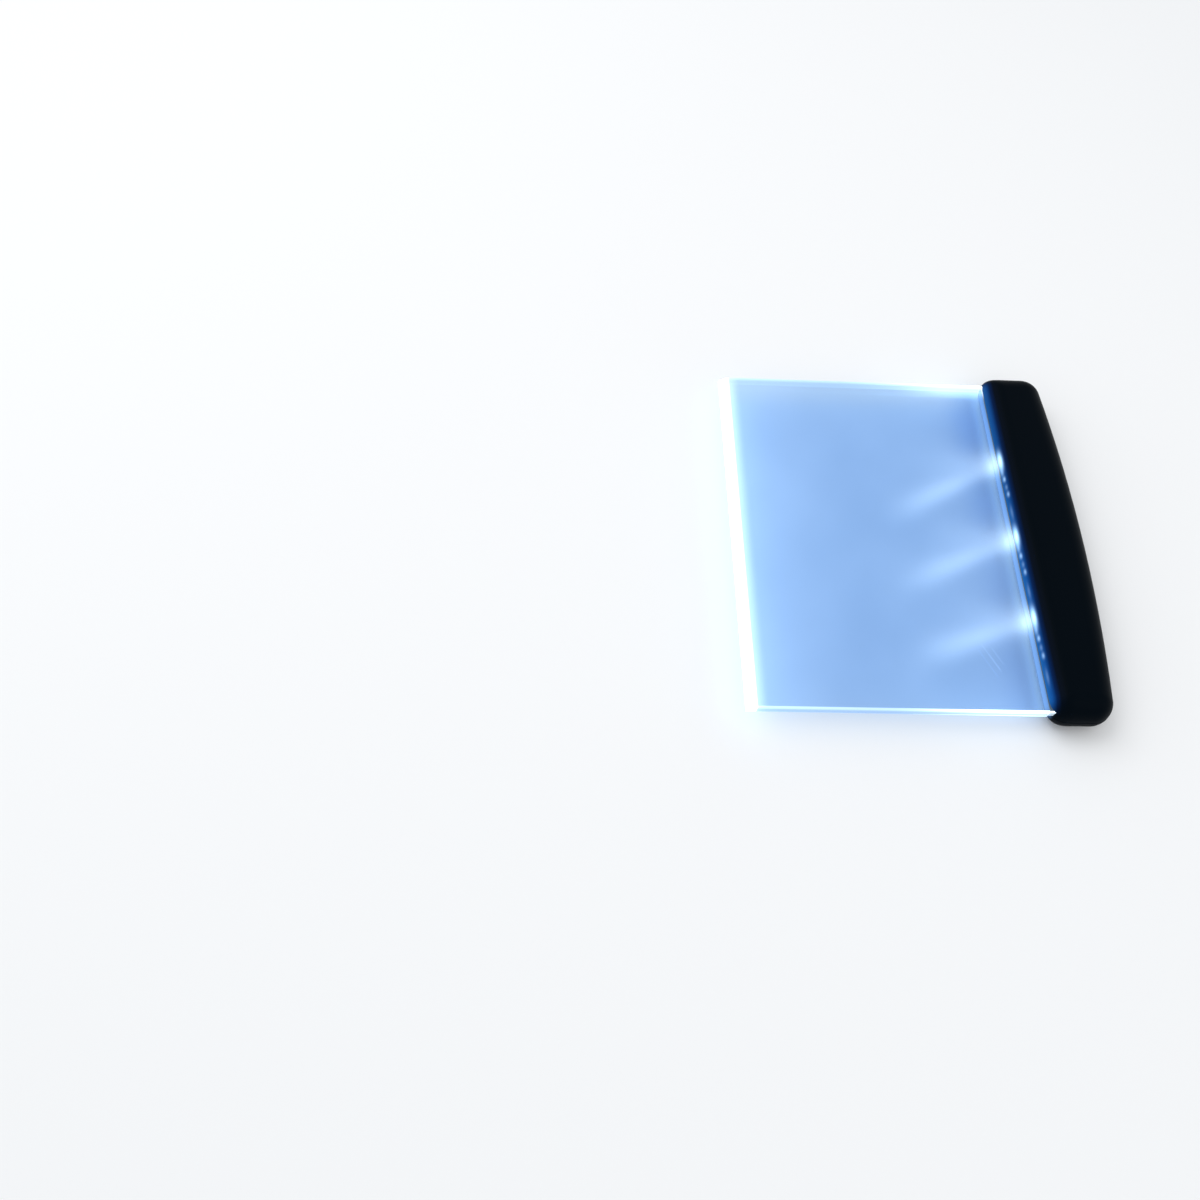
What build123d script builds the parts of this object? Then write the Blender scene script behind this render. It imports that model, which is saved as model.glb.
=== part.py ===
from build123d import *
from math import cos, dist, pi, sin
import os

# Clear-panel book light: a flat acrylic light guide that lies on the page, held along one
# long side by a black battery handle that hangs just off the edge of the book.
# Frame: +Z up, +X from the panel towards the handle, +Y along the handle, away from the
# reader. The origin is the middle of the visible panel's underside, which lies on the page.
# All sizes are in millimetres.

# Light panel
panel_width = 124.5  # free edge to handle
panel_thickness = 4.5
free_bevel_width = 4.5  # sloping strip along the free edge
free_bevel_drop = 2.6
panel_chamfer = 0.4
tongue_depth = 8.0  # how far the panel reaches into the handle
tongue_setback = 3.0  # how much shorter the tongue is than the panel, at each end
tongue_step = 0.3  # how much each face steps in where the panel enters the handle
step_gap = 0.1  # the step stands this far outside the handle
slot_clearance = 0.05  # between the panel and the handle's lips

# Handle casing, a fully rounded bar
handle_overhang = 3.4  # beyond the panel at each end
near_end_room = 14.4  # from the near end to the cell bay
far_end_room = 28.6  # from the cell bay to the far end, for the switch
outer_room = 9.3  # from the cell bay to the middle of the bowed outer side
handle_bow = 4.8  # how much narrower the handle is at its ends
handle_height = 18.7
handle_above_panel = 6.0
edge_round = 9.0  # rounds all the edges of the bar's section
corner_margin = 0.5  # plan corners are this much rounder than the section
shoulder_depth = 4.0  # reach of the panel's full length into the handle
lip_reach = 3.0  # the casing's lips hold the panel over this depth
wall = 1.8
roof = 1.5
floor = 2.2
seam_chamfer = 0.25
lip_height = 1.0
lip_thickness = 0.8
lip_gap = 0.1
rib = 1.2
rib_room = 5.5  # between the outer lamps and the ribs on each side of them

# Fasteners
screw_radius = 1.0
screw_length = 10.0
screw_head_radius = 1.9
screw_head_height = 1.3
screw_recess_depth = 2.6
screw_head_clearance = 0.2
screw_hole_clearance = 0.15
pilot_clearance = 0.02
driver_slot = 0.5
panel_boss_radius = 1.9
panel_boss_clearance = 0.2
panel_boss_inset = 5.3  # from the handle's inner face
panel_screw_from_end = 23.5
under_boss_radius = 3.1
end_boss_radius = 2.4
end_boss_inset_x = 9.1  # from the handle's end width
end_boss_inset_y = 9.5

# Lamp board
led_pitch = 42.0
led_count = 3
led_size = (0.9, 3.5, 2.8)
led_window_radius = 1.05
led_window_depth = 0.15
led_gap = 0.3  # between the panel's hidden edge and the lamps
board_thickness = 1.0
board_end_room = 8.0  # from the last lamp to the board's end
board_height = 7.2
board_bottom = -1.2
resistor_size = (0.55, 2.0, 1.1)
resistor_offset = 3.0
reflector_thickness = 0.8
reflector_window_gap = 0.2
reflector_overhang = 0.1

# Cells, laid end to end
cell_count = 3
cell_radius = 5.25
cell_length = 44.5
nub_radius = 1.9
nub_length = 1.0
jacket_wall = 0.18
jacket_gap = 0.02
jacket_margin = 0.6
bay_clearance = 0.25
bay_wall = 1.0
bay_wall_top = 6.0
outer_bay_wall_top = 1.0
contact_thickness = 0.4
contact_width = 9.0
contact_below = 4.95  # below and above the cells' axis
contact_above = 6.35
dimple_radius = 1.5
dimple_height = 0.5

# Contact spring
spring_space = 4.0
spring_wire = 0.25  # wire radius
spring_base_radius = 3.3
spring_tip_radius = 2.5
spring_turns = 3
spring_seat_gap = 0.02

# Battery door, hinged on two trunnions at its near end
door_thickness = 1.4
door_ledge = 1.5  # overlap on the board side
door_outer_ledge = 0.5  # overlap on the outer side
door_gap = 0.2
door_end_gap = 0.3
door_pin_radius = 0.6
door_pin_length = 1.1
door_pin_clearance = 0.05
door_pin_end_gap = 0.2
door_neck = 2.1  # from the hinge axis to the full-width plate
door_neck_gap = 0.6
door_rib = 1.0
door_cell_gap = 0.3
door_rib_count = 5
latch_width = 6.0
latch_length = 8.0
latch_slot = 0.8
grip_line = 0.5
grip_line_count = 4
grip_line_pitch = 1.3

# Slide switch, on the underside
switch_travel = 3.0
switch_x = 13.0  # from the handle's inner face
switch_from_end = 16.9
switch_ear_end = 2.0  # beyond the screw holes
switch_ear_width = 4.6
switch_ear_thickness = 0.5
switch_screw_pitch = 15.0
switch_boss_height = 1.6
switch_boss_radius = 1.9
switch_body = (4.6, 8.8, 4.0)
switch_can_wall = 0.4
switch_can_height = 3.2
switch_fit = 0.05
slider_block = (3.4, 4.0, 1.2)
slider_pocket = (3.8, 8.0, 1.5)
slider_stem = 2.0
knob_size = (4.6, 6.4, 1.1)
knob_recess_gap = 0.4
knob_recess_depth = 1.4
knob_float = 0.1
knob_socket_depth = 0.5
terminal_size = (0.5, 1.4, 2.8)
terminal_pitch = 3.0
switch_screw_length = 3.2
switch_screw_pilot_depth = 3.0

# Wires
wire_radius = 0.5
wire_bend = 1.5
wire_drop = 0.65  # wire middle below the contacts' top edges
wire_stand_off = 2.4  # from the contacts' backs
wire_touch = 0.05
wire_slope = 4.0  # length over which a wire changes height

# Places worked out from the sizes above; the cells set the length of handle and panel
cells_length = cell_count * cell_length
bay_length = 2 * contact_thickness + spring_space + cells_length + dimple_height
handle_length = near_end_room + bay_length + far_end_room
panel_length = handle_length - 2 * handle_overhang
x_free = -panel_width / 2
x_wall = panel_width / 2
x_tongue = x_wall + tongue_depth
x_boss = x_wall + panel_boss_inset
half_length = panel_length / 2
half_handle = handle_length / 2
y_end_boss = half_handle - end_boss_inset_y
z_top = panel_thickness + handle_above_panel
z_bottom = z_top - handle_height
z_seam = (z_top + z_bottom) / 2
z_lamp = panel_thickness / 2
contact_bottom = z_seam - contact_below
contact_top = z_seam + contact_above
z_tongue_low = tongue_step
z_tongue_high = panel_thickness - tongue_step
z_under_panel = z_tongue_low - slot_clearance
z_over_panel = z_tongue_high + slot_clearance
z_roof = z_top - roof
z_floor = z_bottom + floor
cut_margin = 1.0

x_led = x_tongue + led_gap
x_board = x_led + led_size[0]
x_bay = x_board + board_thickness + led_gap + bay_wall  # bay side of the long rib
x_cell = x_bay + bay_clearance + cell_radius
x_bay_outer = x_cell + cell_radius + bay_clearance
x_bow = x_bay_outer + outer_room
x_end = x_bow - handle_bow
x_end_boss = x_end - end_boss_inset_x
bay_near = near_end_room - half_handle
bay_far = bay_near + bay_length
cell_start = bay_near + contact_thickness + spring_space
led_places = [(i - (led_count - 1) / 2) * led_pitch for i in range(led_count)]
outer_lamp = led_places[-1]
board_length = 2 * (outer_lamp + board_end_room)
rib_places = [side * (outer_lamp + room) for side in (-1, 1) for room in (-rib_room, rib_room)]
panel_peg_y = led_pitch / 2
panel_screw_y = half_length - panel_screw_from_end

x_switch = x_wall + switch_x
y_switch = half_handle - switch_from_end
y_slider = y_switch + switch_travel / 2  # the knob rests at its far stop, switched on
z_ear = z_floor + switch_boss_height
z_switch_body = z_ear + switch_ear_thickness
z_switch_top = z_switch_body + switch_body[2]
z_knob_floor = z_bottom + knob_recess_depth
z_knob_top = z_knob_floor - knob_float
z_knob_bottom = z_knob_top - knob_size[2]

hinge_radius = floor / 2
y_hinge = bay_near + cut_margin + door_end_gap + hinge_radius
z_hinge = z_bottom + hinge_radius
y_door_plate = y_hinge + door_neck
y_opening_near = y_hinge - hinge_radius - door_end_gap
y_opening_far = bay_far - door_end_gap
z_door_top = z_bottom + door_thickness

os.makedirs("parts", exist_ok=True)


def save(part, name):
    """Label a finished piece and write it as its own file."""
    part.label = name
    export_step(part, f"parts/{name}.step")


def handle_outline(inset, height):
    """Plan of the handle, drawn in by inset, on a level plane at height."""
    left = x_wall + inset
    right = x_end - inset
    end = half_handle - inset
    with BuildSketch(Plane.XY.offset(height)) as outline:
        with BuildLine():
            Line((left, -end), (right, -end))
            ThreePointArc((right, -end), (x_bow - inset, 0), (right, end))
            Line((right, end), (left, end))
            Line((left, end), (left, -end))
        make_face()
        fillet(outline.vertices(), edge_round + corner_margin - inset)
    return outline.sketch


def rounded_half(inset, z_flat):
    """Half of the bar between the seam and its flat side, drawn in by inset."""
    height = abs(z_flat - z_seam)
    upper = z_flat > z_seam
    with BuildPart() as half:
        extrude(handle_outline(inset, min(z_flat, z_seam)), amount=height)
        flat_face = half.faces().sort_by(Axis.Z)[-1 if upper else 0]
        fillet(flat_face.edges(), min(edge_round - inset, height - 0.1))
    return half.part


def block(low, high):
    """A box from its lowest corner to its highest."""
    size = [b - a for a, b in zip(low, high)]
    centre = [(a + b) / 2 for a, b in zip(low, high)]
    with Locations(tuple(centre)):
        Box(*size)


def cut_block(low, high):
    """The same box, taken away."""
    size = [b - a for a, b in zip(low, high)]
    centre = [(a + b) / 2 for a, b in zip(low, high)]
    with Locations(tuple(centre)):
        Box(*size, mode=Mode.SUBTRACT)


def column(x, y, z_low, z_high, radius, mode=Mode.ADD):
    """An upright cylinder between two heights."""
    with Locations((x, y, z_low)):
        Cylinder(
            radius,
            z_high - z_low,
            align=(Align.CENTER, Align.CENTER, Align.MIN),
            mode=mode,
        )


def cut_panel_slot(z_low, z_high):
    """The mouth that the panel slides into, open at both ends of the handle."""
    x_shoulder = x_wall + shoulder_depth + slot_clearance
    y_open = half_length + slot_clearance
    y_tongue = half_length - tongue_setback + slot_clearance
    cut_block((x_wall - cut_margin, -y_open, z_low), (x_shoulder, y_open, z_high))
    cut_block((x_shoulder, -y_tongue, z_low), (x_tongue + slot_clearance, y_tongue, z_high))


# Light panel: one clear sheet, with a narrower tongue that the handle clamps
with BuildPart() as light_panel:
    block((x_free, -half_length, 0), (x_wall - step_gap, half_length, panel_thickness))
    free_edges = light_panel.edges().filter_by(Axis.Y).group_by(Axis.X)[0].sort_by(Axis.Z)
    chamfer(free_edges[0], panel_chamfer)
    top_face = light_panel.faces().sort_by(Axis.Z)[-1]
    chamfer(free_edges[-1], free_bevel_width, free_bevel_drop, reference=top_face)
    chamfer(light_panel.edges().filter_by(Axis.X), panel_chamfer)
    x_step = x_wall - step_gap
    x_shoulder = x_wall + shoulder_depth
    y_shoulder = half_length - panel_chamfer
    block((x_step, -y_shoulder, z_tongue_low), (x_shoulder, y_shoulder, z_tongue_high))
    y_tongue = half_length - tongue_setback
    block((x_shoulder, -y_tongue, z_tongue_low), (x_tongue, y_tongue, z_tongue_high))
    for y in (-panel_screw_y, -panel_peg_y, panel_peg_y, panel_screw_y):
        hole_radius = panel_boss_radius + panel_boss_clearance
        column(x_boss, y, 0, panel_thickness, hole_radius, Mode.SUBTRACT)
save(light_panel.part, "light_panel")


# Upper casing
with BuildPart() as housing_top:
    add(rounded_half(0, z_top))
    chamfer(housing_top.faces().sort_by(Axis.Z)[0].edges(), seam_chamfer)
    add(rounded_half(wall, z_roof), mode=Mode.SUBTRACT)
    lip_room = lip_height + lip_gap
    lip_inset = wall - lip_thickness - lip_gap
    extrude(handle_outline(lip_inset, z_seam), amount=lip_room, mode=Mode.SUBTRACT)
    # bosses and pegs through the panel's tongue, and ribs that press on it
    for side in (-1, 1):
        column(x_boss, side * panel_screw_y, z_under_panel, z_roof, panel_boss_radius)
        column(x_boss, side * panel_peg_y, z_under_panel, z_roof, panel_boss_radius)
        column(x_end_boss, side * y_end_boss, z_seam, z_roof, end_boss_radius)
    for y in rib_places:
        block((x_wall + wall, y - rib / 2, z_over_panel), (x_tongue, y + rib / 2, z_roof))
    pilot_radius = screw_radius + pilot_clearance
    screw_seat = z_bottom + screw_recess_depth
    z_pilot = screw_seat + screw_length + screw_head_clearance
    for side in (-1, 1):
        column(x_boss, side * panel_screw_y, 0, z_pilot, pilot_radius, Mode.SUBTRACT)
        column(x_end_boss, side * y_end_boss, 0, z_pilot, pilot_radius, Mode.SUBTRACT)
    # only the lips and the wall are cut for the panel, not the bosses inside
    x_lip_end = x_wall + lip_reach
    y_open_end = half_length + slot_clearance
    cut_block(
        (x_wall - cut_margin, -y_open_end, z_seam - cut_margin),
        (x_lip_end, y_open_end, z_over_panel),
    )
    for side in (-1, 1):
        y_pair = sorted((side * (half_length - edge_round), side * y_open_end))
        cut_block(
            (x_lip_end, y_pair[0], z_seam - cut_margin),
            (x_wall + shoulder_depth + slot_clearance, y_pair[1], z_over_panel),
        )
    add(rounded_half(0, z_top), mode=Mode.INTERSECT)
save(housing_top.part, "housing_top")


# Room the lower casing may fill: its rounded half, and straight up inside the upper one
with BuildPart() as lower_limit:
    add(rounded_half(0, z_bottom))
    extrude(handle_outline(0, z_seam), amount=z_top - z_seam)


# Lower casing, with the cell bay, its door opening and the switch recess
with BuildPart() as housing_bottom:
    add(rounded_half(0, z_bottom))
    chamfer(housing_bottom.faces().sort_by(Axis.Z)[-1].edges(), seam_chamfer)
    add(rounded_half(wall, z_floor), mode=Mode.SUBTRACT)
    # raised lip that locates the upper casing
    extrude(handle_outline(wall - lip_thickness, z_seam), amount=lip_height)
    extrude(handle_outline(wall, z_seam), amount=lip_height, mode=Mode.SUBTRACT)
    # screw bosses
    for side in (-1, 1):
        z_boss_top = z_under_panel - slot_clearance
        column(x_boss, side * panel_screw_y, z_floor, z_boss_top, under_boss_radius)
        column(x_boss, side * panel_peg_y, z_floor, z_boss_top, panel_boss_radius)
        column(x_end_boss, side * y_end_boss, z_floor, z_seam, end_boss_radius)
        y_screw_boss = y_switch + side * switch_screw_pitch / 2
        column(x_switch, y_screw_boss, z_floor, z_ear, switch_boss_radius)
    # ribs that carry the panel's tongue and the lamp board
    for y in rib_places:
        rib_low = (x_wall + wall, y - rib / 2, z_floor)
        block(rib_low, (x_tongue, y + rib / 2, z_under_panel))
        block(rib_low, (x_bay - bay_wall, y + rib / 2, board_bottom))
    # walls of the cell bay
    y_bay_near = bay_near - rib
    y_bay_far = bay_far + rib
    block((x_bay - bay_wall, y_bay_near, z_floor), (x_bay, y_bay_far, bay_wall_top))
    block((x_bay, y_bay_near, z_floor), (x_bay_outer, bay_near, bay_wall_top))
    block((x_bay, bay_far, z_floor), (x_bay_outer, y_bay_far, bay_wall_top))
    x_outer_rib = x_bay_outer + rib
    block((x_bay_outer, y_bay_near, z_floor), (x_outer_rib, y_bay_far, outer_bay_wall_top))
    add(lower_limit.part, mode=Mode.INTERSECT)
    # door opening and the rebate that the door's plate sits in
    cut_block(
        (x_bay, y_opening_near, z_bottom - cut_margin),
        (x_bay_outer, y_opening_far, z_floor + cut_margin),
    )
    cut_block(
        (x_bay - door_ledge, y_door_plate - door_neck_gap, z_bottom - cut_margin),
        (x_bay_outer + door_outer_ledge, y_opening_far, z_door_top + door_gap / 2),
    )
    # trunnion holes for the door
    hole_reach = door_pin_length + door_pin_end_gap
    with Locations(Location(((x_bay + x_bay_outer) / 2, y_hinge, z_hinge), (0, 90, 0))):
        Cylinder(
            door_pin_radius + door_pin_clearance,
            x_bay_outer - x_bay + 2 * (hole_reach - door_gap),
            mode=Mode.SUBTRACT,
        )
    # switch recess and the slot for its stem
    with BuildSketch(Plane.XY.offset(z_bottom)) as recess:
        with Locations((x_switch, y_switch)):
            RectangleRounded(
                knob_size[0] + 2 * knob_recess_gap,
                knob_size[1] + switch_travel + 2 * knob_recess_gap,
                1.2,
            )
    extrude(recess.sketch, amount=knob_recess_depth, mode=Mode.SUBTRACT)
    slot_width = slider_stem + 2 * knob_recess_gap
    slot_length = slider_stem + switch_travel + 2 * knob_recess_gap
    cut_block(
        (x_switch - slot_width / 2, y_switch - slot_length / 2, z_bottom),
        (x_switch + slot_width / 2, y_switch + slot_length / 2, z_floor),
    )
    # screw holes
    head_hole = screw_head_radius + screw_head_clearance
    shank_hole = screw_radius + screw_hole_clearance
    for x, y in ((x_boss, panel_screw_y), (x_end_boss, y_end_boss)):
        for side in (-1, 1):
            column(x, side * y, z_bottom - cut_margin, screw_seat, head_hole, Mode.SUBTRACT)
            column(x, side * y, screw_seat, z_seam + cut_margin, shank_hole, Mode.SUBTRACT)
    for side in (-1, 1):
        y_pilot = y_switch + side * switch_screw_pitch / 2
        z_pilot_low = z_ear - switch_screw_pilot_depth
        column(x_switch, y_pilot, z_pilot_low, z_ear, pilot_radius, Mode.SUBTRACT)
    cut_panel_slot(z_under_panel, z_seam + 2 * lip_height)
save(housing_bottom.part, "housing_bottom")


# Battery door
with BuildPart() as battery_door:
    x_door_low = x_bay - door_ledge + door_gap
    x_door_high = x_bay_outer + door_outer_ledge - door_gap
    y_door_far = y_opening_far - door_end_gap
    block((x_door_low, y_door_plate, z_bottom), (x_door_high, y_door_far, z_door_top))
    # hinge neck with its rounded end and two trunnions
    neck_low = x_bay + door_gap
    neck_high = x_bay_outer - door_gap
    block((neck_low, y_hinge, z_bottom), (neck_high, y_door_plate, z_floor))
    neck_width = neck_high - neck_low
    neck_middle = (neck_low + neck_high) / 2
    with Locations(Location((neck_middle, y_hinge, z_hinge), (0, 90, 0))):
        Cylinder(hinge_radius, neck_width)
        Cylinder(door_pin_radius, neck_width + 2 * door_pin_length)
    # ribs under the cells, hollowed to their round
    z_rib_top = z_seam - cell_radius - door_cell_gap
    rib_span = (y_door_far - latch_length) - y_door_plate
    for i in range(door_rib_count):
        y = y_door_plate + rib_span * (i + 0.5) / door_rib_count
        block((neck_low, y - door_rib / 2, z_door_top), (neck_high, y + door_rib / 2, z_rib_top + 1.2))
    with Locations(Location((x_cell, 0, z_seam), (90, 0, 0))):
        Cylinder(cell_radius + door_cell_gap, panel_length, mode=Mode.SUBTRACT)
    # springy latch tongue between two slots, with grip lines
    for side in (-1, 1):
        x_slot = neck_middle + side * (latch_width + latch_slot) / 2
        cut_block(
            (x_slot - latch_slot / 2, y_door_far - latch_length, z_bottom),
            (x_slot + latch_slot / 2, y_door_far + cut_margin, z_door_top),
        )
    for i in range(grip_line_count):
        y = y_door_far - 1.2 - i * grip_line_pitch
        x_line = latch_width / 2 - 0.6
        cut_block(
            (neck_middle - x_line, y - grip_line, z_bottom),
            (neck_middle + x_line, y, z_bottom + grip_line),
        )
    add(rounded_half(0, z_bottom), mode=Mode.INTERSECT)
save(battery_door.part, "battery_door")


# Lamp board with its lamps, resistors and reflector strip
with BuildPart() as led_board:
    block(
        (x_board, -board_length / 2, board_bottom),
        (x_board + board_thickness, board_length / 2, board_bottom + board_height),
    )
save(led_board.part, "led_board")

for number, y in enumerate(led_places, start=1):
    with BuildPart() as led:
        low = (x_led, y - led_size[1] / 2, z_lamp - led_size[2] / 2)
        block(low, (x_board, y + led_size[1] / 2, z_lamp + led_size[2] / 2))
        with Locations(Location((x_led, y, z_lamp), (0, 90, 0))):
            Cylinder(led_window_radius, 2 * led_window_depth, mode=Mode.SUBTRACT)
    save(led.part, f"led_{number}")

with BuildPart() as chip_resistors:
    z_resistor = board_bottom + board_height - resistor_size[2]
    for y in led_places:
        y_low = y + resistor_offset - resistor_size[1] / 2
        block(
            (x_board - resistor_size[0], y_low, z_resistor),
            (x_board, y_low + resistor_size[1], z_resistor + resistor_size[2]),
        )
save(chip_resistors.part, "chip_resistors")

with BuildPart() as led_reflector:
    x_strip = x_board - reflector_thickness
    z_strip = (-reflector_overhang, panel_thickness + reflector_overhang)
    block((x_strip, -board_length / 2, z_strip[0]), (x_board, board_length / 2, z_strip[1]))
    for y in led_places:
        window_y = led_size[1] / 2 + reflector_window_gap
        window_z = led_size[2] / 2 + reflector_window_gap
        cut_block(
            (x_strip, y - window_y, z_lamp - window_z),
            (x_board, y + window_y, z_lamp + window_z),
        )
save(led_reflector.part, "led_reflector")


# Cells, each a steel can in its printed jacket
for number in range(1, cell_count + 1):
    y_start = cell_start + (number - 1) * cell_length
    y_nub = y_start + cell_length - nub_length
    can_radius = cell_radius - jacket_wall - jacket_gap
    axis_start = Plane((x_cell, y_start, z_seam), x_dir=(1, 0, 0), z_dir=(0, 1, 0))
    with BuildPart(axis_start) as cell:
        base = (Align.CENTER, Align.CENTER, Align.MIN)
        Cylinder(can_radius, cell_length - nub_length, align=base)
        fillet(cell.edges().filter_by(GeomType.CIRCLE), 0.5)
        with Locations((0, 0, cell_length - nub_length)):
            Cylinder(nub_radius, nub_length, align=base)
        fillet(cell.edges().group_by(Axis.Y)[-1], 0.3)
    save(cell.part, f"cell_{number}")
    with BuildPart(axis_start.offset(jacket_margin)) as jacket:
        Cylinder(cell_radius, cell_length - nub_length - 2 * jacket_margin, align=base)
        Hole(cell_radius - jacket_wall)
    save(jacket.part, f"cell_jacket_{number}")


# Cell contacts
with BuildPart() as negative_contact:
    block(
        (x_cell - contact_width / 2, bay_near, contact_bottom),
        (x_cell + contact_width / 2, bay_near + contact_thickness, contact_top),
    )
    fillet(negative_contact.edges().filter_by(Axis.Y), 0.8)
save(negative_contact.part, "negative_contact")

with BuildPart() as positive_contact:
    block(
        (x_cell - contact_width / 2, bay_far - contact_thickness, contact_bottom),
        (x_cell + contact_width / 2, bay_far, contact_top),
    )
    fillet(positive_contact.edges().filter_by(Axis.Y), 0.8)
    dimple_plane = Plane(
        (x_cell, bay_far - contact_thickness, z_seam), x_dir=(1, 0, 0), z_dir=(0, -1, 0)
    )
    with Locations(dimple_plane):
        Cylinder(dimple_radius, dimple_height, align=(Align.CENTER, Align.CENTER, Align.MIN))
    fillet(positive_contact.edges().group_by(Axis.Y)[0], 0.3)
save(positive_contact.part, "positive_contact")


def spring_point(turn):
    """Middle of the spring's wire after so many turns from its seat."""
    share = turn / spring_turns
    radius = spring_base_radius + (spring_tip_radius - spring_base_radius) * share
    seat = spring_wire + spring_seat_gap
    y = bay_near + contact_thickness + seat + (spring_space - 2 * seat) * share
    return (
        x_cell + radius * cos(2 * pi * turn),
        y,
        z_seam + radius * sin(2 * pi * turn),
    )


# The cells are pushed together by a tapered coil spring
arcs_per_turn = 4
arc_ends = [spring_point(i / arcs_per_turn) for i in range(spring_turns * arcs_per_turn + 1)]
with BuildPart() as contact_spring:
    with BuildLine() as coil:
        near_start = spring_point(0.001)
        direction = Vector(*near_start) - Vector(*arc_ends[0])
        for start, end in zip(arc_ends, arc_ends[1:]):
            arc = TangentArc(start, end, tangent=direction)
            direction = arc % 1
    with BuildSketch(Plane(coil.line @ 0, z_dir=coil.line % 0)) as wire_end:
        Circle(spring_wire)
    sweep(wire_end.sketch, path=coil.line)
save(contact_spring.part, "contact_spring")
samples = [tuple(coil.line @ (i / 300)) for i in range(301)]
skip = 300 // (2 * spring_turns)
least_gap = min(
    dist(samples[i], samples[j]) - 2 * spring_wire
    for i in range(301)
    for j in range(i + skip, 301)
)
print("contact spring, least gap to itself", round(least_gap, 2))


# Slide switch
with BuildPart() as switch_frame:
    with BuildSketch(Plane.XY.offset(z_ear)) as ears:
        with Locations((x_switch, y_switch)):
            ear_length = switch_screw_pitch + 2 * switch_ear_end
            RectangleRounded(switch_ear_width, ear_length, 1.5)
            Rectangle(
                switch_body[0] + 2 * switch_can_wall, switch_body[1] + 2 * switch_can_wall
            )
            with GridLocations(0, switch_screw_pitch, 1, 2):
                Circle(screw_radius + screw_hole_clearance, mode=Mode.SUBTRACT)
            Rectangle(
                slider_stem + 2 * knob_recess_gap,
                slider_stem + switch_travel + 2 * knob_recess_gap,
                mode=Mode.SUBTRACT,
            )
    extrude(ears.sketch, amount=switch_ear_thickness)
    with BuildSketch(Plane.XY.offset(z_switch_body)) as can:
        with Locations((x_switch, y_switch)):
            Rectangle(
                switch_body[0] + 2 * switch_can_wall, switch_body[1] + 2 * switch_can_wall
            )
            Rectangle(switch_body[0], switch_body[1], mode=Mode.SUBTRACT)
    extrude(can.sketch, amount=switch_can_height)
save(switch_frame.part, "switch_frame")

with BuildPart() as switch_base:
    half_x = switch_body[0] / 2 - switch_fit
    half_y = switch_body[1] / 2 - switch_fit
    block(
        (x_switch - half_x, y_switch - half_y, z_switch_body),
        (x_switch + half_x, y_switch + half_y, z_switch_top),
    )
    cut_block(
        (x_switch - slider_pocket[0] / 2, y_switch - slider_pocket[1] / 2, z_switch_body),
        (
            x_switch + slider_pocket[0] / 2,
            y_switch + slider_pocket[1] / 2,
            z_switch_body + slider_pocket[2],
        ),
    )
save(switch_base.part, "switch_base")

with BuildPart() as switch_terminals:
    for i in (-1, 0, 1):
        y = y_switch + i * terminal_pitch
        block(
            (x_switch - terminal_size[1] / 2, y - terminal_size[0] / 2, z_switch_top),
            (
                x_switch + terminal_size[1] / 2,
                y + terminal_size[0] / 2,
                z_switch_top + terminal_size[2],
            ),
        )
save(switch_terminals.part, "switch_terminals")

with BuildPart() as switch_lever:
    z_block = z_switch_body + switch_fit
    block(
        (x_switch - slider_block[0] / 2, y_slider - slider_block[1] / 2, z_block),
        (
            x_switch + slider_block[0] / 2,
            y_slider + slider_block[1] / 2,
            z_block + slider_block[2],
        ),
    )
    z_stem = z_knob_top - knob_socket_depth + switch_fit
    block(
        (x_switch - slider_stem / 2, y_slider - slider_stem / 2, z_stem),
        (x_switch + slider_stem / 2, y_slider + slider_stem / 2, z_block),
    )
save(switch_lever.part, "switch_lever")

with BuildPart() as switch_knob:
    with BuildSketch(Plane.XY.offset(z_knob_bottom)) as knob_plan:
        with Locations((x_switch, y_slider)):
            RectangleRounded(knob_size[0], knob_size[1], 0.9)
    extrude(knob_plan.sketch, amount=knob_size[2])
    chamfer(switch_knob.faces().sort_by(Axis.Z)[0].edges(), 0.2)
    for i in range(grip_line_count):
        y = y_slider + (i - (grip_line_count - 1) / 2) * grip_line_pitch
        cut_block(
            (x_switch - knob_size[0], y - grip_line / 2, z_knob_bottom),
            (x_switch + knob_size[0], y + grip_line / 2, z_knob_bottom + grip_line),
        )
    socket = slider_stem / 2 + switch_fit
    cut_block(
        (x_switch - socket, y_slider - socket, z_knob_top - knob_socket_depth),
        (x_switch + socket, y_slider + socket, z_knob_top),
    )
save(switch_knob.part, "switch_knob")


def screw(x, y, seat, length, up):
    """A pan-head screw whose head rests on seat and whose shank runs up or down from it."""
    way = 1 if up else -1
    tip = seat + way * length
    head = seat - way * screw_head_height
    column(x, y, min(seat, tip), max(seat, tip), screw_radius)
    column(x, y, min(seat, head), max(seat, head), screw_head_radius)
    z_slot = sorted((head, head + way * driver_slot))
    arm = screw_head_radius * 0.6
    for long_x, long_y in ((arm, driver_slot / 2), (driver_slot / 2, arm)):
        cut_block((x - long_x, y - long_y, z_slot[0]), (x + long_x, y + long_y, z_slot[1]))


with BuildPart() as housing_screws:
    for x, y in ((x_boss, panel_screw_y), (x_end_boss, y_end_boss)):
        for side in (-1, 1):
            screw(x, side * y, screw_seat, screw_length, up=True)
save(housing_screws.part, "housing_screws")

with BuildPart() as switch_screws:
    for side in (-1, 1):
        y = y_switch + side * switch_screw_pitch / 2
        screw(x_switch, y, z_switch_body, switch_screw_length, up=False)
save(switch_screws.part, "switch_screws")


def wire(route, name):
    """One insulated wire along straight runs with rounded bends."""
    with BuildPart() as lead:
        with BuildLine() as path:
            FilletPolyline(*route, radius=wire_bend)
        with BuildSketch(Plane(path.line @ 0, z_dir=path.line % 0)) as end_face:
            Circle(wire_radius)
        sweep(end_face.sketch, path=path.line)
    save(lead.part, name)


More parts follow.
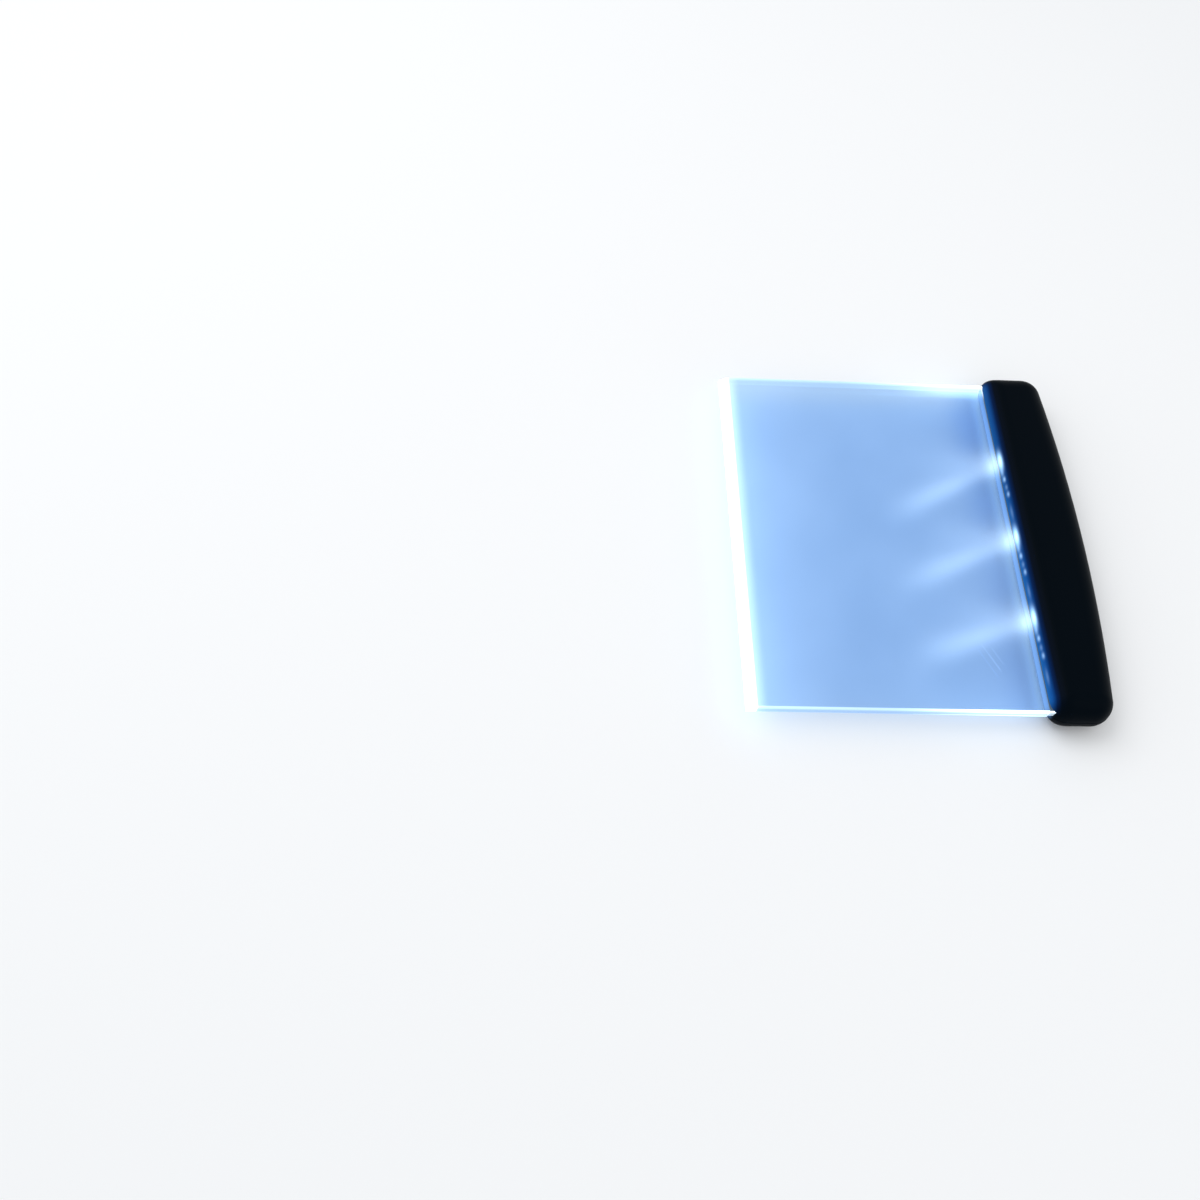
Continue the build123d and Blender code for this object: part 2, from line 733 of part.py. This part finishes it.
x_solder = x_board - wire_radius - wire_touch
z_solder = panel_thickness + reflector_overhang + wire_radius + 0.2
y_board_end = board_length / 2
y_wire_end = y_board_end - 2.5
y_wire_rise = y_board_end + 2.5
z_contact_wire = contact_top - wire_drop
x_contact_wire = x_cell - contact_width / 3
z_switch_wire = z_switch_top + terminal_size[2] - 0.7

wire(
    [
        (x_contact_wire, bay_near, z_contact_wire),
        (x_contact_wire, bay_near - wire_stand_off, z_contact_wire),
        (x_solder, bay_near - wire_stand_off, z_contact_wire),
        (x_solder, -y_wire_rise - wire_slope, z_contact_wire),
        (x_solder, -y_wire_rise, z_solder),
        (x_solder, -y_wire_end, z_solder),
    ],
    "negative_wire",
)

wire(
    [
        (x_contact_wire, bay_far, z_contact_wire),
        (x_contact_wire, bay_far + wire_stand_off, z_contact_wire),
        (x_switch, bay_far + 2 * wire_stand_off, z_switch_wire),
        (x_switch, y_switch - terminal_pitch - terminal_size[0] / 2, z_switch_wire),
    ],
    "positive_wire",
)

wire(
    [
        (x_switch - terminal_size[1] / 2, y_switch, z_switch_wire),
        (x_solder, y_switch, z_switch_wire),
        (x_solder, y_wire_rise + wire_slope, z_switch_wire),
        (x_solder, y_wire_rise, z_solder),
        (x_solder, y_wire_end, z_solder),
    ],
    "switched_wire",
)
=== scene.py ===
import math

import bmesh
import bpy
from mathutils import Matrix, Vector


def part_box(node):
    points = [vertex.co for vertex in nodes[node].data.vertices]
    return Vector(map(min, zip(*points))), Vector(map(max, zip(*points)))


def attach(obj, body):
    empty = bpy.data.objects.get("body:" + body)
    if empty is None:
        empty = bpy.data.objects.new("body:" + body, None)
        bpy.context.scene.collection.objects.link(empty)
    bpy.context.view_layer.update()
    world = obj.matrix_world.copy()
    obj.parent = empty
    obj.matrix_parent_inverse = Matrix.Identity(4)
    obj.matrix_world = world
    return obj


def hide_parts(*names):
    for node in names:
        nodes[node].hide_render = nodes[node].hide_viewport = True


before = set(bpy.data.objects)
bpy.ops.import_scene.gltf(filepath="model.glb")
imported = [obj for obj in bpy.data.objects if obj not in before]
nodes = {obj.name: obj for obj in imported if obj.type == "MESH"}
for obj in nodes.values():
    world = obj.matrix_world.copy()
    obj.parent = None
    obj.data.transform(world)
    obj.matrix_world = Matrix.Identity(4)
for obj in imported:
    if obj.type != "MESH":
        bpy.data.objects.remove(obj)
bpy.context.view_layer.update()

# All lengths are in metres. A pair called RISE is a level and what it gains as a share
# goes from 0 to 1. A pair called FADE is where a fade is 0 and where it is 1.

# Places read from the CAD
panel_low, panel_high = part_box("light_panel")
base_low, base_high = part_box("housing_bottom")
WALL = base_low.x  # the handle's inner face
FREE = panel_low.x  # the panel's free edge
NEAR = panel_low.y
FAR = panel_high.y
PANEL_TOP = panel_high.z
led_boxes = [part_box(f"led_{n}") for n in (1, 2, 3)]
LED_Y = [(low.y + high.y) / 2 for low, high in led_boxes]

# Shape of the handle's inner corners in plan
CORNER = 0.0095
SQUARE_FAR = 4.2  # power of the curve: 2 is round, more is squarer
SQUARE_NEAR = 2.5
WELD_REACH = 0.000002
SHARP_ANGLE = math.radians(32)

# Colours
NO_TINT = (1, 1, 1, 1)
WHITE_GLOW = (0.72, 0.88, 1.0, 1)
CLEAR_TINT = (0.645, 0.785, 0.945, 1)
SHADE_TINT = (0.50, 0.70, 0.955, 1)
SHADOW_TINT = (0.97, 0.985, 1.0, 1)
CASING_COLOUR = (0.0003, 0.0022, 0.0046, 1)
# painted glow on the casing's slot face
PAINTED_SLOT_GLOW = (0.13, 0.32, 0.68, 1)
# the panel's glow beside the handle, partly painted light over the handle's shadow
GLOW_AND_PAINTED_FILL = (0.33, 0.62, 1.0, 1)
# painted reflections and glints on the casing
PAINTED_GLINT_BLUE = (0.42, 0.70, 1.0, 1)
FLOOR_COLOUR = (0.905, 0.912, 0.920, 1)
SKY_COLOUR = (0.97, 0.985, 1.0, 1)

# The casing: its finish, and painted light on its inner side: the panel's blue glow, the slot's
# glow and the lamps' glints
CASING_SHINE = 0.028
CASING_ROUGHNESS = 0.42
CASING_IOR = 1.45
GRAIN_SCALE = 1400.0
GRAIN_STRENGTH = 0.12
GRAIN_DEPTH = 0.0001
SIDE_REACH = 0.0062
# Painted glow on the handle's inner side: the panel's blue light given as colours up the round
PAINTED_SIDE_GLOW = [  # share of SIDE_REACH, colour
    (0.0, (0.040, 0.22, 0.60)),
    (1.0, (0.0, 0.0, 0.0)),
    (0.05, (0.012, 0.125, 0.42)),
    (0.20, (0.006, 0.080, 0.33)),
    (0.30, (0.003, 0.044, 0.20)),
    (0.40, (0.0010, 0.013, 0.075)),
    (0.62, (0.0001, 0.0010, 0.006)),
]
SIDE_RISE = (0.80, 0.25)
SIDE_FADE = (0.055, -0.02)
ABOVE_FADE = (PANEL_TOP - 0.0006, PANEL_TOP - 0.0002)
SLOT_UP_FADE = (-0.0080, 0.0)
SLOT_IN_FADE = (WALL + 0.0022, WALL + 0.0012)
NEAR_END_FADE = (NEAR - 0.003, NEAR + 0.006)
FAR_END_FADE = (FAR + 0.003, FAR - 0.004)
# Each lamp's painted reflection, then a chain of small painted glints beside it:
# place along the handle from the lamp, length, height up the round, width, strength
PAINTED_GLINTS = [
    (-0.0010, 0.0042, 0.0010, 0.00062, 2.2),
    (-0.0072, 0.0022, 0.0009, 0.00034, 0.40),
    (-0.0114, 0.0013, 0.0011, 0.00034, 0.75),
    (-0.0160, 0.0014, 0.0012, 0.00034, 0.25),
    (-0.0200, 0.0013, 0.0013, 0.00034, 0.60),
    (-0.0300, 0.0034, 0.0012, 0.00034, 0.18),
]

# White light at the panel's edges
STRIP_WIDTH = 0.0045
STRIP_SOFT = 0.0001
STRIP_UP_FADE = (0.0002, 0.0006)
CORE_FADE = (0.0045, 0.0030)
STRIP_RISE = (0.35, 2.0)
SPILL_FADE = (0.0095, 0.0040)
SPILL_POWER = 0.22
TO_HANDLE_FADE = (-0.005, WALL)
NEAR_EDGE_FADE = (-0.35, -0.6)
NEAR_EDGE_RISE = (0.55, 2.2)
FAR_EDGE_FADE = (0.35, 0.6)
FAR_EDGE_RISE = (0.14, 2.6)
UP_EDGE_FADE = (0.0018, 0.0040)
UP_EDGE_RISE = (0.25, 0.75)
OUTDOORS_FADE = (WALL - 0.0001, WALL - 0.0004)
END_FACE_FADE = (FAR - 0.0010, FAR - 0.0003)
CORNER_GLOW_WIDTH = 0.0034
CORNER_GLOW_FADE = (0.018, WALL)
CORNER_GLOW_POWER = 0.85

# Light on the panel's flat top
TOP_FADE = (0.5, 0.9)
STREAK_SLOPES = [-0.33, -0.43, -0.52]
STREAK_SHIFT = 0.002
STREAK_RISE = (0.0026, 0.11)
STREAK_END_FADE = (0.060, 0.030)
STREAK_START_FADE = (0.008, 0.026)
STREAK_START_RISE = (0.5, 0.5)
STREAK_POWER = 0.135
FAN_RISE = (0.004, 0.30)
FAN_FADE = (0.045, 0.0)
FAN_POWER = 0.95
# Hot spot and halo of each lamp: place before the wall, width, length, strength
SPOTS = [(0.0010, 0.0016, 0.0046, 0.30), (0.002, 0.0048, 0.0075, 0.13)]
CLOUD_SCALE = 26.0
HAZE = 0.068
HAZE_FREE_FADE = (0.0, -0.060)
HAZE_FREE_GAIN = 0.045
SCRATCHES = [(0.0385, -0.0555, 0.0455, -0.0700), (0.0425, -0.0570, 0.0470, -0.0665)]
SCRATCH_WIDTH = 0.00025
SCRATCH_TAPER = 0.002
SCRATCH_POWER = 0.10
FILL_FADE = (0.0075, 0.0025)
FILL_WALL_FADE = (0.0, 0.0018)
FILL_WALL_RISE = (0.35, 0.65)
FILL_POWER = 0.15

# The panel's clear body
SHADE_FADE = (0.022, 0.0)
SHADE_GAP_SHIFT = 0.001
SHADE_GAP_WIDTH = 0.011
SHADE_ALONG_FADE = (-0.050, 0.060)
SHADE_ALONG_RISE = (0.45, 0.55)
GLOSS_ROUGHNESS = 0.03
GLOSS_RISE = (0.035, 0.8)
GLOSS_POWER = 5.0

# Backdrop and lights
FLOOR_REACH = 6.0
FLOOR_GAP = 0.0001
KEY_POWER = 3.3
SIDE_FILL_POWER = 1.6
SKY_STRENGTH = 0.80


class Graph:
    """A small helper that adds shader nodes and joins them."""

    def __init__(self, name):
        self.material = bpy.data.materials.new(name)
        self.material.use_nodes = True
        self.tree = self.material.node_tree
        self.tree.nodes.clear()
        self.output = self.tree.nodes.new("ShaderNodeOutputMaterial")

    def node(self, kind, inputs=None, **settings):
        made = self.tree.nodes.new(kind)
        for key, value in settings.items():
            setattr(made, key, value)
        for key, value in (inputs or {}).items():
            self.set(made.inputs[key], value)
        return made

    def set(self, socket, value):
        if isinstance(value, bpy.types.NodeSocket):
            self.tree.links.new(value, socket)
        else:
            socket.default_value = value

    def math(self, operation, a, b=0.0, clamp=False):
        made = self.tree.nodes.new("ShaderNodeMath")
        made.operation = operation
        made.use_clamp = clamp
        self.set(made.inputs[0], a)
        self.set(made.inputs[1], b)
        return made.outputs[0]

    def plus(self, *values):
        total = values[0]
        for value in values[1:]:
            total = self.math("ADD", total, value)
        return total

    def minus(self, a, b, clamp=False):
        return self.math("SUBTRACT", a, b, clamp)

    def times(self, *values):
        total = values[0]
        for value in values[1:]:
            total = self.math("MULTIPLY", total, value)
        return total

    def rise(self, share, level, gain):
        """A level that gains as the share goes from 0 to 1."""
        return self.plus(level, self.times(share, gain))

    def fade(self, value, start, end, smooth=True):
        """0 at start and 1 at end."""
        made = self.node("ShaderNodeMapRange", clamp=True)
        made.interpolation_type = "SMOOTHSTEP" if smooth else "LINEAR"
        self.set(made.inputs["Value"], value)
        self.set(made.inputs["From Min"], start)
        self.set(made.inputs["From Max"], end)
        return made.outputs["Result"]

    def bell(self, value, centre, width):
        """A bell of height 1 around centre."""
        share = self.math("DIVIDE", self.minus(value, centre), width)
        return self.math("EXPONENT", self.times(share, share, -1.0))

    def parts(self, kind):
        """The three parts of the object's coordinates or of its normal."""
        place = self.node("ShaderNodeTexCoord")
        split = self.node("ShaderNodeSeparateXYZ", {0: place.outputs[kind]})
        return split.outputs[0], split.outputs[1], split.outputs[2]

    def noise(self, scale):
        place = self.node("ShaderNodeTexCoord")
        inputs = {"Vector": place.outputs["Object"], "Scale": scale, "Detail": 2.0}
        return self.node("ShaderNodeTexNoise", inputs).outputs[0]

    def ramp(self, value, stops):
        """A colour ramp from (place, colour) pairs."""
        made = self.node("ShaderNodeValToRGB", {0: value})
        ramp = made.color_ramp
        ramp.interpolation = "LINEAR"
        for number, (place, colour) in enumerate(stops):
            stop = ramp.elements[number] if number < 2 else ramp.elements.new(place)
            stop.position = place
            stop.color = (*colour, 1)
        return made.outputs[0]

    def blend(self, share, first, second):
        """The first colour at share 0 and the second at 1."""
        made = self.node("ShaderNodeMix", data_type="RGBA")
        for key, value in (("Factor", share), ("A", first), ("B", second)):
            self.set(made.inputs[key], value)
        return made.outputs["Result"]

    def light(self, colour, strength):
        inputs = {"Color": colour, "Strength": strength}
        return self.node("ShaderNodeEmission", inputs).outputs[0]

    def clear(self, colour):
        return self.node("ShaderNodeBsdfTransparent", {"Color": colour}).outputs[0]

    def join(self, *shaders):
        """All the shaders added together."""
        total = shaders[0]
        for shader in shaders[1:]:
            total = self.node("ShaderNodeAddShader", {0: total, 1: shader}).outputs[0]
        return total

    def choose(self, share, first, second):
        """The first shader at share 0 and the second at 1."""
        return self.node("ShaderNodeMixShader", {0: share, 1: first, 2: second}).outputs[0]

    def finish(self, shader):
        self.tree.links.new(shader, self.output.inputs["Surface"])
        return self.material


def plain(name, colour, roughness, metallic=0.0, coat=0.0):
    """A solid finish of one colour."""
    g = Graph(name)
    inputs = {
        "Base Color": (*colour, 1),
        "Roughness": roughness,
        "Metallic": metallic,
        "Coat Weight": coat,
    }
    return g.finish(g.node("ShaderNodeBsdfPrincipled", inputs).outputs[0])


def glow_material(name, colour, strength):
    g = Graph(name)
    return g.finish(g.light(colour, strength))


def casing_material():
    """Black satin plastic, with the panel's blue light and the lamps' reflections painted on its
    inner side as glow.
    """
    g = Graph("casing_black")
    x, y, z = g.parts("Object")
    lift_inputs = {
        "Height": g.noise(GRAIN_SCALE),
        "Strength": GRAIN_STRENGTH,
        "Distance": GRAIN_DEPTH,
    }
    lift = g.node("ShaderNodeBump", lift_inputs)
    satin_inputs = {
        "Base Color": CASING_COLOUR,
        "Roughness": CASING_ROUGHNESS,
        "IOR": CASING_IOR,
        "Specular IOR Level": CASING_SHINE,
        "Normal": lift.outputs[0],
    }
    satin = g.node("ShaderNodeBsdfPrincipled", satin_inputs)

    above = g.fade(z, *ABOVE_FADE)
    ends = g.times(g.fade(y, *NEAR_END_FADE), g.fade(y, *FAR_END_FADE))

    # painted glow: the panel's blue light painted on the side that faces the panel, fading up the
    # round
    share = g.math("DIVIDE", g.minus(x, WALL), SIDE_REACH, clamp=True)
    sway = g.rise(g.fade(y, *SIDE_FADE), *SIDE_RISE)
    side = g.light(g.ramp(share, PAINTED_SIDE_GLOW), g.times(above, ends, sway))

    # painted glow: the slot's face, seen through the clear sheet, is painted as bright as the sheet
    up = g.fade(z, *SLOT_UP_FADE, smooth=False)
    in_slot = g.times(up, up, g.minus(1.0, above), g.fade(x, *SLOT_IN_FADE))
    slot = g.light(PAINTED_SLOT_GLOW, g.times(in_slot, ends))

    # painted reflections of the lamps and a chain of small painted glints beside each
    marks = []
    for led in LED_Y:
        for shift, length, height, width, power in PAINTED_GLINTS:
            across = g.bell(x, WALL + height, width)
            along = g.bell(y, led + shift, length)
            marks.append(g.times(across, along, power))
    glints = g.light(PAINTED_GLINT_BLUE, g.times(g.plus(*marks), above))
    return g.finish(g.join(satin.outputs[0], slot, side, glints))


def panel_edge_light(g, x, y, z, ny, on_top):
    """White light that leaves the sloping strip, the cut edges and the top beside the strip."""
    from_free = g.minus(x, FREE)
    on_strip = g.times(
        g.fade(from_free, STRIP_WIDTH + STRIP_SOFT, STRIP_WIDTH - STRIP_SOFT),
        g.fade(z, *STRIP_UP_FADE),
    )
    strip = g.times(on_strip, g.rise(g.fade(from_free, *CORE_FADE), *STRIP_RISE))
    to_handle = g.fade(x, *TO_HANDLE_FADE)
    near = g.times(
        g.fade(ny, *NEAR_EDGE_FADE),
        g.rise(to_handle, *NEAR_EDGE_RISE),
        g.rise(g.fade(z, *UP_EDGE_FADE), *UP_EDGE_RISE),
    )
    far = g.times(g.fade(ny, *FAR_EDGE_FADE), g.rise(to_handle, *FAR_EDGE_RISE))
    spill = g.times(g.fade(from_free, *SPILL_FADE), on_top, SPILL_POWER)
    # the stepped end and the peg holes inside the handle stay dark
    outdoors = g.math(
        "MAXIMUM",
        g.fade(x, *OUTDOORS_FADE),
        g.fade(g.math("ABSOLUTE", y), *END_FACE_FADE),
    )
    # the far corner beside the handle glows most
    corner = g.times(
        g.bell(y, FAR, CORNER_GLOW_WIDTH),
        g.fade(x, *CORNER_GLOW_FADE),
        on_top,
        CORNER_GLOW_POWER,
    )
    return g.plus(g.times(g.plus(strip, near, far, spill), outdoors), corner)


def panel_top_light(g, x, y, run, on_top):
    """Hot spots, streaks, a faint cloudiness and two scratches on the flat top."""
    streaks = []
    spots = []
    for led, slope in zip(LED_Y, STREAK_SLOPES):
        # a streak that runs from the lamp across the panel
        start = led - STREAK_SHIFT
        drift = g.plus(start, g.times(run, slope))
        begin = g.rise(g.fade(run, *STREAK_START_FADE), *STREAK_START_RISE)
        streak = g.bell(y, drift, g.rise(run, *STREAK_RISE))
        streaks.append(g.times(streak, g.fade(run, *STREAK_END_FADE), begin))
        # a wide soft fan straight ahead of the lamp
        fan = g.bell(y, start, g.rise(run, *FAN_RISE))
        streaks.append(g.times(fan, g.fade(run, *FAN_FADE), FAN_POWER))
        # the hot spot where the lamp shines into the panel, and its halo
        for back, width, length, power in SPOTS:
            spots.append(g.times(g.bell(x, WALL - back, width), g.bell(y, led, length), power))

    rise = g.times(g.fade(x, *HAZE_FREE_FADE), HAZE_FREE_GAIN)
    haze = g.plus(g.times(g.noise(CLOUD_SCALE), HAZE), rise)

    lines = []
    for x0, y0, x1, y1 in SCRATCHES:
        lean = (x1 - x0) / (y1 - y0)
        line = g.plus(x0, g.times(g.minus(y, y0), lean))
        begin = g.fade(y, y0, y0 - SCRATCH_TAPER)
        end = g.fade(y, y1, y1 + SCRATCH_TAPER)
        lines.append(g.times(g.bell(x, line, SCRATCH_WIDTH), begin, end))
    scratches = g.times(g.plus(*lines), SCRATCH_POWER)

    streak_light = g.times(g.plus(*streaks), STREAK_POWER)
    return g.times(g.plus(streak_light, *spots, haze, scratches), on_top)


def panel_body(g, x, y, run, nx):
    """The clear sheet: a blue tint, with painted shade (a deeper blue) between the lamps beside the
    handle, and a gloss.
    """
    beside_lamps = g.plus(*(g.bell(y, led - SHADE_GAP_SHIFT, SHADE_GAP_WIDTH) for led in LED_Y))
    shade = g.times(
        g.fade(run, *SHADE_FADE),
        g.minus(1.0, beside_lamps, clamp=True),
        g.rise(g.fade(y, *SHADE_ALONG_FADE), *SHADE_ALONG_RISE),
    )
    # the stepped end inside the handle adds no second tint and no gloss
    hidden = g.math("MAXIMUM", g.fade(nx, 0.1, 0.3), g.fade(x, WALL - 0.0003, WALL - 0.0002))
    outside = g.times(g.fade(nx, 0.3, 0.1), g.fade(x, WALL - 0.0001, WALL - 0.0003))
    tint = g.blend(hidden, g.blend(shade, CLEAR_TINT, SHADE_TINT), NO_TINT)
    # gloss by Schlick's rule, the same from both sides of the sheet
    facing = g.node("ShaderNodeLayerWeight", {"Blend": 0.5}).outputs["Facing"]
    mirror = g.times(g.rise(g.math("POWER", facing, GLOSS_POWER), *GLOSS_RISE), outside)
    gloss = g.node("ShaderNodeBsdfGlossy", {"Color": NO_TINT, "Roughness": GLOSS_ROUGHNESS})
    return g.choose(mirror, g.clear(tint), gloss.outputs[0])


def panel_material():
    """Clear acrylic lit from the handle side: bright edges, hot spots and soft streaks."""
    g = Graph("lit_acrylic")
    x, y, z = g.parts("Object")
    nx, ny, nz = g.parts("Normal")
    run = g.minus(WALL, x)
    on_top = g.fade(nz, *TOP_FADE)
    white = g.plus(
        panel_edge_light(g, x, y, z, ny, on_top), panel_top_light(g, x, y, run, on_top)
    )
    # blue glow on the top beside the handle: partly the panel's own light near its lamps, partly
    # painted light that lifts the handle's shadow on the floor seen through the sheet
    beside_wall = g.rise(g.fade(run, *FILL_WALL_FADE), *FILL_WALL_RISE)
    blue = g.times(g.fade(run, *FILL_FADE), on_top, beside_wall, FILL_POWER)
    lit = g.join(panel_body(g, x, y, run, nx), g.light(WHITE_GLOW, white), g.light(GLOW_AND_PAINTED_FILL, blue))
    # shadow rays pass almost untouched, as through real clear sheet
    shadow = g.node("ShaderNodeLightPath").outputs["Is Shadow Ray"]
    return g.finish(g.choose(shadow, lit, g.clear(SHADOW_TINT)))


def paint(material, *names):
    for name in names:
        mesh = nodes[name].data
        mesh.materials.clear()
        mesh.materials.append(material)


casing_black = casing_material()
paint(casing_black, "housing_top", "housing_bottom", "battery_door")
paint(plain("slider_black", (0.010, 0.010, 0.011), 0.55), "switch_lever", "switch_knob")
paint(panel_material(), "light_panel")
paint(glow_material("lamp_glow", WHITE_GLOW, 6.0), "led_1", "led_2", "led_3")
paint(plain("board_green", (0.02, 0.12, 0.05), 0.35), "led_board")
paint(plain("reflector_white", (0.85, 0.85, 0.83), 0.6), "led_reflector")
paint(plain("resistor_black", (0.02, 0.02, 0.022), 0.5), "chip_resistors")
paint(plain("cell_steel", (0.60, 0.60, 0.58), 0.3, metallic=1.0), "cell_1", "cell_2", "cell_3")
paint(
    plain("cell_jacket", (0.06, 0.08, 0.11), 0.25, coat=0.4),
    "cell_jacket_1",
    "cell_jacket_2",
    "cell_jacket_3",
)
paint(
    plain("contact_metal", (0.72, 0.69, 0.62), 0.25, metallic=1.0),
    "negative_contact",
    "positive_contact",
    "contact_spring",
    "switch_terminals",
)
paint(plain("switch_steel", (0.60, 0.60, 0.60), 0.35, metallic=1.0), "switch_frame")
paint(plain("switch_resin", (0.16, 0.08, 0.04), 0.5), "switch_base")
paint(
    plain("screw_steel", (0.25, 0.25, 0.26), 0.35, metallic=1.0),
    "housing_screws",
    "switch_screws",
)
paint(plain("wire_red", (0.45, 0.02, 0.02), 0.4), "positive_wire", "switched_wire")
paint(plain("wire_black", (0.02, 0.02, 0.02), 0.4), "negative_wire")


def square_corner(point):
    """Move a point of a casing half so that the handle's inner corners are squarer in plan."""
    u = (WALL + CORNER - point.x) / CORNER
    v = (abs(point.y) - (base_high.y - CORNER)) / CORNER
    if u <= 0 or v <= 0:
        return
    length = math.hypot(u, v)
    power = SQUARE_FAR if point.y > 0 else SQUARE_NEAR
    stretch = ((u / length) ** power + (v / length) ** power) ** (-1 / power)
    point.x = WALL + CORNER - u * stretch * CORNER
    point.y = math.copysign(base_high.y - CORNER + v * stretch * CORNER, point.y)


def squarer_casing(node, body):
    """A copy of a casing half with the squarer inner corners the photo shows."""
    mesh = nodes[node].data.copy()
    shape = bmesh.new()
    shape.from_mesh(mesh)
    bmesh.ops.remove_doubles(shape, verts=shape.verts, dist=WELD_REACH)
    for vert in shape.verts:
        square_corner(vert.co)
    for face in shape.faces:
        face.smooth = True
    shape.to_mesh(mesh)
    shape.free()
    if "custom_normal" in mesh.attributes:
        mesh.attributes.remove(mesh.attributes["custom_normal"])
    mesh.set_sharp_from_angle(angle=SHARP_ANGLE)
    piece = bpy.data.objects.new(node + "_shell", mesh)
    bpy.context.scene.collection.objects.link(piece)
    mesh.materials.clear()
    mesh.materials.append(casing_black)
    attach(piece, body)
    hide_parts(node)


squarer_casing("housing_top", "housing")
squarer_casing("housing_bottom", "housing")


# Floor: a wide pale plane just under the handle
def floor_material():
    g = Graph("pale_floor")
    inputs = {"Base Color": FLOOR_COLOUR, "Roughness": 0.9, "Specular IOR Level": 0.1}
    return g.finish(g.node("ShaderNodeBsdfPrincipled", inputs).outputs[0])


floor_mesh = bpy.data.meshes.new("floor")
floor_z = base_low.z - FLOOR_GAP
corners = [
    (a * FLOOR_REACH, b * FLOOR_REACH, floor_z) for a, b in ((-1, -1), (1, -1), (1, 1), (-1, 1))
]
floor_mesh.from_pydata(corners, [], [(0, 1, 2, 3)])
floor_object = bpy.data.objects.new("floor", floor_mesh)
bpy.context.scene.collection.objects.link(floor_object)
floor_mesh.materials.append(floor_material())


def area_light(name, place, width, power):
    """A square soft light that points at the middle of the frame."""
    data = bpy.data.lights.new(name, "AREA")
    data.shape = "RECTANGLE"
    data.size = data.size_y = width
    data.energy = power
    lamp = bpy.data.objects.new(name, data)
    lamp.location = place
    lamp.rotation_mode = "QUATERNION"
    lamp.rotation_quaternion = (-Vector(place)).to_track_quat("-Z", "Y")
    bpy.context.scene.collection.objects.link(lamp)


area_light("key", (-0.5, 0.4, 0.9), 0.8, KEY_POWER)
area_light("fill", (0.7, -0.5, 0.8), 0.9, SIDE_FILL_POWER)

world = bpy.data.worlds.new("studio")
bpy.context.scene.world = world
world.use_nodes = True
tree = world.node_tree
tree.nodes.clear()
out = tree.nodes.new("ShaderNodeOutputWorld")
sky = tree.nodes.new("ShaderNodeBackground")
sky.inputs["Color"].default_value = SKY_COLOUR
sky.inputs["Strength"].default_value = SKY_STRENGTH
tree.links.new(sky.outputs[0], out.inputs["Surface"])

# Camera solved from the panel's four corners in the photo
camera_data = bpy.data.cameras.new("camera")
camera_data.sensor_width = 36.0
camera_data.lens = 43.155
camera_data.clip_start = 0.01
camera_data.clip_end = 50.0
camera = bpy.data.objects.new("camera", camera_data)
bpy.context.scene.collection.objects.link(camera)
CAMERA_PLACE = (-0.161929, -0.364134, 0.505708)
CAMERA_TURN = Matrix(
    (
        (0.997361, -0.022399, -0.069057),
        (-0.018807, 0.839023, -0.543771),
        (0.070120, 0.543635, 0.836387),
    )
)
camera.matrix_world = Matrix.Translation(CAMERA_PLACE) @ CAMERA_TURN.to_4x4()
bpy.context.scene.camera = camera
bpy.context.scene.view_settings.view_transform = "Standard"
